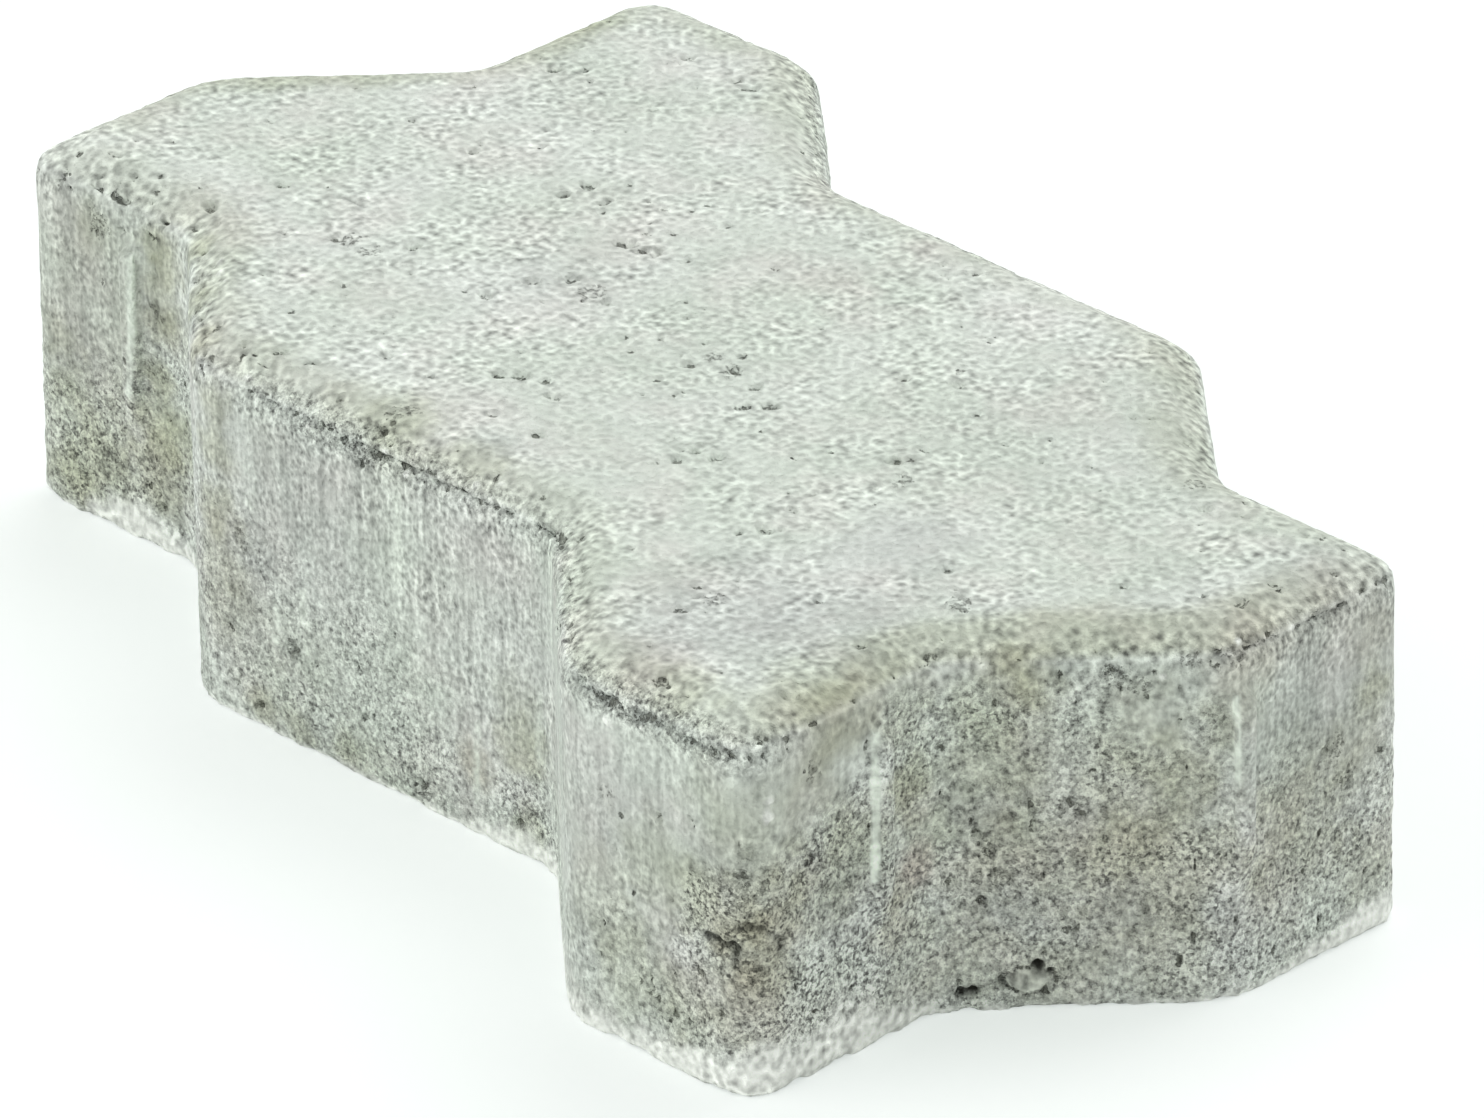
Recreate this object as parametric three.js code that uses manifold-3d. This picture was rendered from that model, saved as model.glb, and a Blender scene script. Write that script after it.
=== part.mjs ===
// Interlocking concrete paving stone, cast in one piece.
//
// Units are millimetres and +Z is up. The origin is the centre of the underside, and the long
// axis runs along X. The stone covers two squares of a square laying grid. Its sides step
// sideways where the grid's own lines are turned against the stone, so that copies of it,
// shifted or turned by the grid, lock together with an even joint all round.

import * as THREE from 'three';
import Module from 'manifold-3d';

// Laying grid and body
const GRID_PITCH = 112.5;
const JOINT = 2;
const THICKNESS = 60;

// Each side is a chain of straight stretches, joined by slanting steps
const STEP_RUN = 31.5;
const STEP_OFFSET = 28.2;

// Rounding of the outline: right-angled corners, bends that bulge and bends that are hollow
const CORNER_RADIUS = 6;
const OUTER_BEND_RADIUS = 14;
const INNER_BEND_RADIUS = 12;
const ARC_FACETS = 7;

// Bevelled rim of the top face
const BEVEL_WIDTH = 6.2;
const BEVEL_DROP = 3.4;
const ARRIS_RADIUS = 1.5;
const RIM_RADIUS = 4;
const RIM_SHOULDER = 2;
const PROFILE_FACETS = 3;

// Spacer nibs: slim upright ribs that hold the joint open. Each starts below the bevel, stands
// out fully down to its fade height, and from there runs back into the wall above the foot.
const NIB_WIDTH = 3.6;
const NIB_CREST_RADIUS = 1.2;
const NIB_CLEARANCE = 0.2;
const NIB_ROOT = 3;
const NIB_HEAD_BELOW_ARRIS = 5;
const NIB_HEAD_LENGTH = 2.5;
const NIB_FADE_HEIGHT = 26;
const NIB_FADE_LENGTH = 15;
const SIDE_NIB_TO_BEND = 12.5;
const END_NIB_TO_BEND = 11;
const BEND_TO_LAST_NIB = 2.6;

// Where a part of the outline is too short for its rounding, the rounding takes this share of it
const ROUNDING_SHARE = 0.45;

const CONCRETE = { color: 0xb4b8ac, roughness: 0.93, metalness: 0 };

// ---------------------------------------------------------------------------------------------
// Plan outline
// ---------------------------------------------------------------------------------------------

// One step shifts the grid's own direction by STEP_OFFSET over the length of one grid square
const squareRun = Math.sqrt(GRID_PITCH ** 2 - STEP_OFFSET ** 2);
const straight = (squareRun - STEP_RUN) / 2;

// Half of the outline, anticlockwise from a right-angled corner: the long side, then the end.
// Each stretch has the radius of the corner or bend that it starts from.
const halfOutline = [
  { name: 'side_start', run: [straight, 0], radius: CORNER_RADIUS },
  { name: 'side_first_step', run: [STEP_RUN, -STEP_OFFSET], radius: INNER_BEND_RADIUS },
  { name: 'side_middle', run: [2 * straight, 0], radius: OUTER_BEND_RADIUS },
  { name: 'side_second_step', run: [STEP_RUN, -STEP_OFFSET], radius: INNER_BEND_RADIUS },
  { name: 'side_finish', run: [straight, 0], radius: OUTER_BEND_RADIUS },
  { name: 'end_start', run: [0, straight], radius: CORNER_RADIUS },
  { name: 'end_step', run: [STEP_OFFSET, STEP_RUN], radius: INNER_BEND_RADIUS },
  { name: 'end_finish', run: [0, straight], radius: OUTER_BEND_RADIUS },
];

// The other half is the same chain after half a turn
function gridCorners() {
  const corner = new THREE.Vector2(0, 0);
  const corners = [];
  for (const direction of [1, -1]) {
    for (const stretch of halfOutline) {
      corners.push(corner.clone());
      corner.add(new THREE.Vector2(...stretch.run).multiplyScalar(direction));
    }
  }
  const centre = corners[halfOutline.length].clone().multiplyScalar(0.5);
  return corners.map((point) => point.sub(centre));
}

const corners = gridCorners();
const cornerRadii = [...halfOutline, ...halfOutline].map((stretch) => stretch.radius);

function leftNormal(direction) {
  return new THREE.Vector2(-direction.y, direction.x);
}

function directionBetween(from, to) {
  return to.clone().sub(from).normalize();
}

// The corners of the grid outline, each moved inwards so that every side shifts by the inset
function insetCorners(inset) {
  return corners.map((corner, index) => {
    const before = corners.at(index - 1);
    const after = corners[(index + 1) % corners.length];
    const inwardBefore = leftNormal(directionBetween(before, corner));
    const inwardAfter = leftNormal(directionBetween(corner, after));
    const scale = inset / (1 + inwardBefore.dot(inwardAfter));
    return corner.clone().add(inwardBefore.add(inwardAfter).multiplyScalar(scale));
  });
}

// The arc that rounds one corner of a path
function roundedCorner(before, corner, after, radius, facets) {
  const inDirection = directionBetween(before, corner);
  const outDirection = directionBetween(corner, after);
  const turn = Math.atan2(inDirection.cross(outDirection), inDirection.dot(outDirection));
  const halfTangent = Math.tan(Math.abs(turn) / 2);
  const room = ROUNDING_SHARE * Math.min(before.distanceTo(corner), corner.distanceTo(after));
  const reach = Math.min(radius * halfTangent, room);
  const start = corner.clone().addScaledVector(inDirection, -reach);
  const towardsCentre = leftNormal(inDirection).multiplyScalar(Math.sign(turn));
  const centre = start.clone().addScaledVector(towardsCentre, reach / halfTangent);
  const arc = [];
  for (let facet = 0; facet <= facets; facet += 1) {
    arc.push(start.clone().rotateAround(centre, (turn * facet) / facets));
  }
  return arc;
}

// The stone's rounded outline, at an inset from its vertical sides
function stoneOutline(inset) {
  const path = insetCorners(JOINT / 2 + inset);
  return path.flatMap((corner, index) => {
    const before = path.at(index - 1);
    const after = path[(index + 1) % path.length];
    return roundedCorner(before, corner, after, cornerRadii[index], ARC_FACETS);
  });
}

// ---------------------------------------------------------------------------------------------
// Solids
// ---------------------------------------------------------------------------------------------

// A closed mesh through a stack of outlines that all have the same number of points
function loft(sections) {
  const count = sections[0].outline.length;
  const positions = sections.flatMap(({ outline, height }) => {
    return outline.flatMap((point) => [point.x, point.y, height]);
  });
  const triangles = [];
  for (let level = 1; level < sections.length; level += 1) {
    for (let index = 0; index < count; index += 1) {
      const next = (index + 1) % count;
      const below = (level - 1) * count;
      const above = level * count;
      triangles.push(below + index, below + next, above + next);
      triangles.push(below + index, above + next, above + index);
    }
  }
  const lid = (level) => THREE.ShapeUtils.triangulateShape(sections[level].outline, []);
  const top = sections.length - 1;
  for (const [a, b, c] of lid(0)) {
    triangles.push(c, b, a);
  }
  for (const [a, b, c] of lid(top)) {
    triangles.push(top * count + a, top * count + b, top * count + c);
  }
  return { positions, triangles };
}

// The upright edge profile, from the underside to the flat of the top face: inset and height
function edgeProfile() {
  const foot = new THREE.Vector2(0, 0);
  const arris = new THREE.Vector2(0, THICKNESS - BEVEL_DROP);
  const rim = new THREE.Vector2(BEVEL_WIDTH, THICKNESS);
  const shoulder = new THREE.Vector2(BEVEL_WIDTH + RIM_SHOULDER, THICKNESS);
  return [
    foot,
    ...roundedCorner(foot, arris, rim, ARRIS_RADIUS, PROFILE_FACETS),
    ...roundedCorner(arris, rim, shoulder, RIM_RADIUS, PROFILE_FACETS),
  ];
}

function stoneBody() {
  return loft(edgeProfile().map(({ x: inset, y: height }) => ({ outline: stoneOutline(inset), height })));
}

// Section of a nib in its own plan frame: X along the wall, and Y out of it.
// Its crest stands out by the given amount, and its root is buried in the stone.
function nibSection(proud) {
  const half = NIB_WIDTH / 2;
  const root = Math.min(proud, 0) - NIB_ROOT;
  const rootLeft = new THREE.Vector2(-half, root);
  const rootRight = new THREE.Vector2(half, root);
  const crestRight = new THREE.Vector2(half, proud);
  const crestLeft = new THREE.Vector2(-half, proud);
  return [
    rootLeft,
    rootRight,
    ...roundedCorner(rootRight, crestRight, crestLeft, NIB_CREST_RADIUS, ARC_FACETS),
    ...roundedCorner(crestRight, crestLeft, rootLeft, NIB_CREST_RADIUS, ARC_FACETS),
  ];
}

// A nib, with its head and its foot sloping back into the wall
function spacerNib(stretchName, along) {
  const index = halfOutline.findIndex((stretch) => stretch.name === stretchName);
  const wall = insetCorners(JOINT / 2);
  const direction = directionBetween(wall[index], wall[index + 1]);
  const outward = leftNormal(direction).negate();
  const foot = corners[index].clone().addScaledVector(direction, along);
  foot.addScaledVector(outward, -JOINT / 2);
  const place = (point) => {
    return foot.clone().addScaledVector(direction, -point.x).addScaledVector(outward, point.y);
  };
  const headTop = THICKNESS - BEVEL_DROP - NIB_HEAD_BELOW_ARRIS;
  const proud = JOINT - NIB_CLEARANCE;
  const buried = -NIB_ROOT / 2;
  const levels = [
    { height: NIB_FADE_HEIGHT - NIB_FADE_LENGTH, proud: buried },
    { height: NIB_FADE_HEIGHT, proud },
    { height: headTop - NIB_HEAD_LENGTH, proud },
    { height: headTop, proud: buried },
  ];
  return loft(levels.map((level) => ({ outline: nibSection(level.proud).map(place), height: level.height })));
}

// Nibs on one half of the outline, each at a distance along the stretch that carries it
const nibPlaces = [
  ['side_start', straight - SIDE_NIB_TO_BEND],
  ['end_start', straight - END_NIB_TO_BEND],
  ['end_finish', BEND_TO_LAST_NIB],
];

const wasm = await Module();
wasm.setup();

function toManifold({ positions, triangles }) {
  return new wasm.Manifold(new wasm.Mesh({
    numProp: 3,
    vertProperties: new Float32Array(positions),
    triVerts: new Uint32Array(triangles),
  }));
}

function toGeometry(manifold) {
  const mesh = manifold.getMesh();
  const geometry = new THREE.BufferGeometry();
  geometry.setAttribute('position', new THREE.BufferAttribute(mesh.vertProperties, 3));
  geometry.setIndex(new THREE.BufferAttribute(mesh.triVerts, 1));
  geometry.computeVertexNormals();
  return geometry;
}

function pavingStone() {
  let solid = toManifold(stoneBody());
  for (const [stretchName, along] of nibPlaces) {
    const nib = toManifold(spacerNib(stretchName, along));
    solid = solid.add(nib).add(nib.rotate([0, 0, 180]));
  }
  const stone = new THREE.Mesh(toGeometry(solid), new THREE.MeshStandardMaterial(CONCRETE));
  stone.name = 'paving_stone';
  return stone;
}

const part = new THREE.Group();
part.add(pavingStone());

export default part;
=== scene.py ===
import itertools
import math

import bmesh
import bpy
import numpy as np
from mathutils import Matrix, Vector
from mathutils.bvhtree import BVHTree


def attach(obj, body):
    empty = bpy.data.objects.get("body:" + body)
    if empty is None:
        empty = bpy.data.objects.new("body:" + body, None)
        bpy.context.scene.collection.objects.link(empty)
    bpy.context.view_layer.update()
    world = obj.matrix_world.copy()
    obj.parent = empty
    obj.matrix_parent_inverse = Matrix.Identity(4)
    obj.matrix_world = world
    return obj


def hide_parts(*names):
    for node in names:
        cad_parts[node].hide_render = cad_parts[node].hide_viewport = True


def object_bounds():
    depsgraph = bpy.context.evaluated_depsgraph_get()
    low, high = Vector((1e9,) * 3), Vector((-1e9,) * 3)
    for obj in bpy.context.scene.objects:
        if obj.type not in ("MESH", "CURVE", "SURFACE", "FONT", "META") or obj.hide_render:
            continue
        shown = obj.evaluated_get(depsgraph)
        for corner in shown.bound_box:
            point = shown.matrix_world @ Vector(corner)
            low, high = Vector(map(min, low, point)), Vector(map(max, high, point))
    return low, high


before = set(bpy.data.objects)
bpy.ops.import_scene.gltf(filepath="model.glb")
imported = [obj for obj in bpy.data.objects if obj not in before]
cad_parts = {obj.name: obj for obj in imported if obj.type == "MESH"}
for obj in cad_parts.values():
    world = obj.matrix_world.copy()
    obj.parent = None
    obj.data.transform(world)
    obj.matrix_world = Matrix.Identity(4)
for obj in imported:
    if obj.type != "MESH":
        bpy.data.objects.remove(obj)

# The looks of one cast concrete paving stone.
#
# The stone's shape comes from its CAD node. It is remeshed finely, and its weathered surface is
# carved into that mesh: uneven faces, pits, drag marks of the mould, chipped edges, and a rim of
# lime at the foot. The places of the marks that the photograph shows are given as its pixels and
# found on the stone by a sight line. Fields of seeded noise make all the rest.
#
# Blender works in metres. The relief and all sizes in the tables are in millimetres.

CAD_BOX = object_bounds()
NODE = "paving_stone"
MM = 0.001

# Sizes of the stone that its relief refers to
ARRIS_HEIGHT = 56.6
BEVEL_WIDTH = 6.2

# ---- Camera ----

# Angles in degrees, distances in metres, lens and sensor in millimetres
CAMERA_AZIMUTH = 46.15
CAMERA_ELEVATION = 27.67
CAMERA_ROLL = 0.86
CAMERA_DISTANCE = 2.1528
CAMERA_LENS = 350.27
SENSOR_WIDTH = 36.0
CAMERA_CLIP = (0.05, 30.0)
AIM_RIGHT = 0.00658
AIM_DOWN = 0.00628
PHOTO_WIDTH = 1484
PHOTO_HEIGHT = 1118


def camera_axes():
    """Right, up and backward directions of the camera, its roll included."""
    azimuth = math.radians(CAMERA_AZIMUTH)
    elevation = math.radians(CAMERA_ELEVATION)
    roll = math.radians(CAMERA_ROLL)
    back = Vector((math.sin(azimuth) * math.cos(elevation),
                   -math.cos(azimuth) * math.cos(elevation),
                   math.sin(elevation)))
    right = Vector((math.cos(azimuth), math.sin(azimuth), 0.0))
    up = back.cross(right)
    rolled_right = math.cos(roll) * right - math.sin(roll) * up
    rolled_up = math.sin(roll) * right + math.cos(roll) * up
    return rolled_right, rolled_up, back


def make_camera(centre):
    right, up, back = camera_axes()
    place = centre + back * CAMERA_DISTANCE
    aim = centre + right * AIM_RIGHT - up * AIM_DOWN
    view_back = (place - aim).normalized()
    view_right = up.cross(view_back).normalized()
    view_up = view_back.cross(view_right)
    data = bpy.data.cameras.new("camera")
    data.sensor_width = SENSOR_WIDTH
    data.lens = CAMERA_LENS
    data.clip_start, data.clip_end = CAMERA_CLIP
    camera = bpy.data.objects.new("camera", data)
    turn = Matrix((view_right, view_up, view_back)).transposed()
    camera.matrix_world = Matrix.Translation(place) @ turn.to_4x4()
    bpy.context.scene.collection.objects.link(camera)
    bpy.context.scene.camera = camera
    return camera


class Sight:
    """Finds the place on the CAD stone that a pixel of the photograph shows."""

    def __init__(self, camera, node):
        self.turn = camera.matrix_world.to_3x3()
        self.eye = camera.matrix_world.translation
        corners = [vertex.co for vertex in node.data.vertices]
        faces = [tuple(face.vertices) for face in node.data.polygons]
        self.tree = BVHTree.FromPolygons(corners, faces)

    def place(self, pixel):
        """The point, in millimetres."""
        focal = CAMERA_LENS / SENSOR_WIDTH * PHOTO_WIDTH
        local = Vector((pixel[0] - PHOTO_WIDTH / 2, PHOTO_HEIGHT / 2 - pixel[1], -focal))
        point, _, _, _ = self.tree.ray_cast(self.eye, (self.turn @ local).normalized())
        if point is None:
            raise ValueError(f"pixel {pixel} does not show the stone")
        return np.array(point) / MM


# ---- Marks seen in the photograph ----

# The darkness of pits, chips and specks is painted shade and dirt in their hollows
# Dimples of the top and its bevels: radius and depth in mm, darkness, then where they are
DIMPLES = (1.0, 0.75, 0.85, [
    (94, 230), (164, 222), (282, 184), (208, 207), (338, 238), (413, 245), (622, 242), (641, 250),
    (653, 255), (675, 233), (562, 194), (587, 184), (498, 373), (553, 395), (538, 433), (735, 370),
    (756, 385), (743, 405), (768, 404), (776, 406), (697, 450), (716, 458), (743, 88), (521, 374),
    (545, 380), (385, 355), (485, 294), (534, 280), (570, 278), (607, 302), (472, 150), (691, 364),
    (796, 511), (766, 531), (680, 460), (832, 452), (910, 459), (551, 67), (688, 56), (735, 80),
    (752, 88), (941, 265), (958, 384), (904, 377), (896, 459), (1089, 466), (946, 569), (1207, 508),
    (739, 533), (818, 600), (680, 608), (862, 645), (1126, 586), (661, 681), (1246, 598), (1280, 589),
    (1271, 583), (385, 430), (244, 344), (278, 351), (310, 363), (628, 244), (659, 250),
])
# Pits and chips of the sides, in the same terms
SMALL_PITS = (0.65, 0.5, 0.55, [
    (121, 230), (149, 238), (212, 267), (67, 263), (69, 436), (112, 414), (146, 468), (658, 819),
    (691, 820), (727, 874), (787, 850), (838, 861), (672, 900), (691, 922), (591, 969), (600, 955),
    (660, 1004), (822, 1029), (882, 957), (961, 789), (986, 854), (975, 833), (1091, 877), (1097, 949),
    (1223, 802), (1187, 778), (1326, 751), (1295, 854), (265, 544), (216, 511), (236, 685), (391, 638),
    (388, 672), (365, 717), (531, 700), (467, 783), (366, 540), (784, 695), (1110, 672), (1125, 680),
    (1148, 699), (259, 707), (363, 719),
])
MEDIUM_PITS = (0.85, 0.65, 0.85, [
    (118, 198), (204, 252), (199, 289), (201, 318), (204, 353), (161, 496), (163, 508), (117, 511),
    (816, 723), (810, 770), (393, 424), (390, 442), (258, 707), (639, 982), (674, 1015), (719, 1016),
    (851, 1000), (1070, 802), (1082, 814), (982, 902), (1068, 932), (1383, 751), (294, 648), (620, 816),
    (789, 510), (816, 1013), (845, 1013), (888, 989), (895, 1010),
])
LARGE_PITS = (1.0, 0.9, 1.0, [(421, 783), (518, 823), (228, 626), (1240, 602), (950, 883)])

# Chips along the edge between bevel and sides, in the same terms
ARRIS_CHIPS = (0.9, 0.8, 1.0, [
    (118, 197), (125, 200), (161, 222), (149, 239), (247, 391), (293, 413), (318, 424), (326, 429),
    (338, 442), (357, 444), (373, 455), (360, 466), (386, 455), (400, 465), (417, 467), (432, 484),
    (458, 488), (474, 505), (482, 505), (494, 507), (505, 510), (538, 527), (549, 531), (563, 546),
    (566, 590), (569, 639), (578, 676), (604, 703), (1249, 646), (1270, 631), (1317, 615), (1346, 604),
    (1389, 577), (1366, 588), (1380, 582),
])
# Clusters of fine specks: radius in mm and strength of their painted shade and dirt, then where they are
SPECKS = (3.0, 0.42, [
    (1116, 677), (1140, 687), (1190, 662), (1236, 652), (352, 450), (368, 458), (392, 424), (405, 412),
    (606, 794), (812, 770), (815, 860), (745, 882), (1072, 806), (158, 316), (755, 975), (340, 765),
    (425, 790), (110, 455), (155, 458), (1336, 750), (1345, 775), (985, 850), (1000, 875), (712, 355),
    (732, 370), (352, 240), (366, 250), (712, 600), (960, 605), (1200, 485), (905, 480), (590, 290),
    (100, 225), (295, 650), (240, 540),
])
# Crumbs of fresh, pale cement; the last three are a painted highlight down the front corner
PALE_CHIPS_AND_HIGHLIGHT = (0.7, -0.25, 1.0, [
    (221, 262), (226, 281), (222, 274), (248, 378), (307, 425), (382, 452), (405, 474), (475, 486),
    (501, 485), (1163, 677), (1240, 640), (1296, 627), (1335, 604), (608, 722), (640, 727), (766, 803),
    (766, 811), (766, 818),
])

# Grooves and fine cracks: width, depth and darkness, then the pixels that each runs through.
# Their darkness is partly painted shade in them, and partly rust where they run through the rust.
GROOVES = [
    (1.8, 0.45, 0.62, [(574, 672), (584, 688), (604, 704), (640, 716), (690, 738), (728, 751), (756, 758)]),
    (0.9, 0.3, 0.42, [(246, 391), (293, 413), (326, 428), (373, 454), (402, 464), (432, 484)]),
    (0.9, 0.6, 0.8, [(706, 936), (717, 939), (722, 945), (732, 943), (737, 950), (736, 968)]),
    (0.8, 0.6, 0.8, [(738, 928), (747, 926), (756, 928), (764, 927), (772, 933)]),
    (0.9, 0.5, 0.5, [(772, 933), (783, 942), (781, 955), (789, 966)]),
    (0.9, 0.3, 0.42, [(432, 484), (458, 488), (480, 503), (505, 509), (549, 530), (564, 552)]),
    (1.1, 0.3, 0.5, [(1204, 660), (1250, 646), (1290, 632), (1320, 618), (1346, 604), (1386, 584)]),
    (0.7, 0.4, 0.45, [(302, 194), (325, 193), (341, 195), (353, 200), (364, 206)]),
    (0.8, 0.4, 0.55, [(735, 877), (744, 875), (752, 878)]),
    (0.8, 0.4, 0.55, [(804, 846), (811, 858), (806, 874)]),
    (0.7, 0.3, 0.45, [(690, 920), (697, 916)]),
    # A darker streak down beside the nib of the left side
    (1.4, 0.3, 0.38, [(154, 240), (154, 275), (155, 310), (156, 345)]),
    (0.6, 0.3, 0.5, [(145, 384), (145, 402)]),
]

# Pale scrapes down the sides, and painted highlights down the nibs and one corner:
# width in mm, strength, and the pixels of both ends
# The first five are painted highlights down the nibs; the one from (552, 562) is a painted highlight down a
# corner
SCRAPES_AND_HIGHLIGHTS = [
    (0.9, 0.8, (131, 258), (131, 346)), (0.9, 0.6, (131, 346), (129, 396)),
    (1.2, 0.9, (875, 737), (876, 800)), (0.9, 0.9, (876, 812), (875, 880)),
    (1.0, 0.8, (1236, 700), (1237, 782)), (0.9, 0.7, (396, 492), (396, 590)),
    (0.9, 0.55, (477, 724), (477, 800)), (1.6, 0.45, (250, 465), (250, 503)),
    (0.9, 0.5, (304, 592), (304, 622)), (0.9, 0.5, (276, 606), (276, 640)),
    (1.2, 0.4, (552, 562), (552, 640)), (0.9, 0.4, (539, 692), (539, 760)),
]

# Holes beside a pebble at the foot, painted near black as their shade, and the darkest marks of rust:
# pixel, radius and depth in mm, and darkness
HOLES = [
    ((962, 995), 1.0, 1.5, 1.0), ((972, 993), 1.0, 1.5, 1.0), ((1039, 967), 1.1, 1.5, 1.0),
    ((1048, 973), 0.8, 0.9, 0.9), ((1004, 984), 0.9, 0.8, 0.7), ((1010, 977), 0.6, 0.6, 0.7),
    ((744, 927), 0.6, 0.5, 0.4), ((753, 928), 0.8, 0.6, 0.6), ((763, 929), 0.7, 0.6, 0.6),
    ((709, 937), 0.6, 0.5, 0.5), ((719, 941), 0.8, 0.6, 0.6), ((731, 944), 0.6, 0.5, 0.5),
    ((736, 954), 0.5, 0.5, 0.5), ((769, 934), 0.5, 0.4, 0.4),
]
# That pebble: pixel, radius and height in mm
PEBBLE = ((1029, 980), 2.6, 0.35)

# Open grain of the sides: how far up it reaches in mm and how open it is, at places along the foot
OPEN_GRAIN = [
    ((58, 480), 28, 0.8), ((100, 496), 30, 0.9), ((132, 511), 32, 0.9), ((148, 519), 38, 0.9),
    ((170, 528), 40, 0.7), ((186, 533), 42, 0.8), ((204, 600), 42, 0.7), ((225, 690), 36, 0.6),
    ((300, 735), 32, 0.8), ((370, 770), 26, 0.8), ((430, 797), 18, 0.9), ((480, 822), 18, 0.6),
    ((540, 848), 22, 1.0), ((577, 990), 12, 0.6), ((620, 1020), 16, 0.6), ((665, 1045), 22, 0.8),
    ((695, 1060), 38, 1.0), ((745, 1082), 44, 1.0), ((800, 1062), 46, 1.0), ((860, 1035), 50, 1.0),
    ((905, 1012), 52, 0.9), ((950, 1000), 52, 0.82), ((1050, 1003), 54, 0.82), ((1150, 1001), 54, 0.82),
    ((1210, 990), 48, 0.9), ((1260, 978), 34, 0.8), ((1330, 942), 32, 0.8), ((1378, 915), 34, 0.8),
]

# How clearly the mould has drawn streaks down the sides, at places along the foot
DRAWN = [
    ((58, 480), 1.0), ((186, 533), 0.9), ((225, 690), 1.0), ((430, 797), 1.0), ((540, 848), 1.0),
    ((577, 990), 0.75), ((745, 1082), 0.6), ((860, 1035), 0.4), ((950, 1000), 0.2), ((1150, 1001), 0.3),
    ((1260, 978), 1.0), ((1378, 915), 1.0),
]

# Soft patches of olive soil: pixel, radius in mm and strength
SOIL = [
    ((95, 300), 20, 0.25), ((75, 420), 16, 0.3), ((156, 245), 4, 0.6), ((162, 280), 4, 0.55),
    ((162, 320), 4, 0.55), ((162, 380), 4, 0.6), ((162, 430), 6, 0.6), ((162, 480), 7, 0.55),
    ((110, 465), 9, 0.45), ((90, 226), 5, 0.35), ((75, 476), 7, 0.6), ((214, 400), 4, 0.5),
    ((192, 250), 4, 0.5), ((193, 300), 4, 0.5), ((194, 345), 4, 0.5), ((185, 450), 8, 0.5),
    ((214, 450), 5, 0.5), ((216, 510), 6, 0.5), ((225, 560), 6, 0.35), ((400, 412), 7, 0.35),
    ((400, 450), 6, 0.2), ((470, 460), 6, 0.35), ((350, 400), 6, 0.25), ((225, 600), 8, 0.3),
    ((295, 650), 10, 0.1), ((260, 680), 7, 0.15), ((515, 700), 6, 0.2), ((360, 755), 6, 0.15),
    ((420, 780), 6, 0.1), ((525, 745), 6, 0.55), ((530, 835), 5, 0.5), ((262, 708), 4, 0.45),
    ((300, 730), 4, 0.45), ((345, 752), 4, 0.4), ((385, 772), 4, 0.1), ((640, 675), 8, 0.15),
    ((690, 690), 6, 0.35), ((600, 900), 10, 0.25), ((640, 970), 10, 0.35), ((690, 1010), 8, 0.35),
    ((760, 1020), 9, 0.15), ((660, 870), 10, 0.3), ((690, 890), 6, 0.4), ((735, 830), 10, 0.35),
    ((820, 830), 9, 0.2), ((820, 1000), 8, 0.15), ((815, 770), 6, 0.3), ((840, 725), 6, 0.3),
    ((900, 710), 7, 0.35), ((905, 790), 6, 0.5), ((925, 830), 6, 0.3), ((840, 860), 9, 0.4),
    ((905, 890), 6, 0.15), ((930, 960), 8, 0.3), ((890, 1000), 6, 0.15), ((990, 700), 8, 0.3),
    ((990, 760), 10, 0.4), ((1060, 820), 14, 0.18), ((990, 860), 10, 0.38), ((1090, 900), 14, 0.22),
    ((1000, 960), 9, 0.28), ((1070, 975), 8, 0.25), ((1170, 860), 12, 0.45), ((1170, 960), 8, 0.3),
    ((1290, 860), 12, 0.35), ((1240, 700), 8, 0.3), ((1360, 870), 7, 0.3), ((1350, 760), 8, 0.35),
    ((1375, 690), 5, 0.55), ((1300, 790), 12, 0.4), ((1190, 770), 8, 0.45), ((1030, 685), 5, 0.65),
    ((1140, 720), 8, 0.25), ((1145, 790), 9, 0.25), ((775, 900), 9, 0.2), ((745, 960), 9, 0.25),
    ((1010, 668), 4, 0.5), ((1120, 850), 8, 0.3), ((175, 330), 5, 0.4), ((175, 270), 4, 0.35),
    ((62, 335), 5, 0.35), ((64, 385), 5, 0.3),
]
# Dull grey patches, in the same terms
DULL = [
    ((310, 520), 14, 0.14), ((422, 780), 4, 0.25), ((460, 795), 4, 0.18), ((522, 812), 4, 0.35),
    ((352, 452), 4, 0.23), ((1080, 880), 16, 0.07), ((760, 560), 12, 0.06), ((1100, 440), 24, 0.08),
    ((560, 100), 12, 0.05), ((905, 545), 10, 0.25), ((730, 560), 6, 0.2), ((1300, 565), 7, 0.2),
    ((80, 340), 8, 0.15), ((492, 445), 5, 0.3), ((405, 478), 3, 0.3), ((985, 810), 7, 0.25),
    ((1138, 905), 5, 0.35), ((1100, 940), 5, 0.2), ((583, 930), 6, 0.2), ((1062, 662), 4, 0.3),
    ((180, 490), 5, 0.25), ((503, 590), 4, 0.14), ((240, 520), 8, 0.18), ((228, 590), 8, 0.2),
    ((265, 560), 5, 0.18), ((317, 735), 4, 0.25), ((620, 820), 12, 0.16), ((690, 960), 12, 0.12),
    ((1090, 780), 16, 0.03), ((560, 270), 14, 0.14), ((1310, 720), 12, 0.1), ((1310, 830), 18, 0.14),
    ((850, 900), 9, 0.16), ((862, 860), 4.5, 0.3), ((1090, 930), 14, 0.05), ((130, 340), 12, 0.07),
    ((1240, 770), 12, 0.14), ((720, 610), 16, 0.25), ((820, 630), 14, 0.27), ((660, 650), 9, 0.19),
    ((1150, 640), 10, 0.16), ((930, 590), 12, 0.13), ((1170, 590), 10, 0.11), ((70, 370), 8, 0.1),
    ((151, 300), 2.5, 0.3), ((156, 280), 2.5, 0.25), ((160, 318), 3, 0.4), ((156, 390), 4, 0.2),
    ((1000, 908), 6, 0.35), ((1137, 927), 3, 0.2), ((1215, 927), 7, 0.25), ((717, 857), 6, 0.25),
    ((805, 857), 6, 0.18),
]

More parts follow.
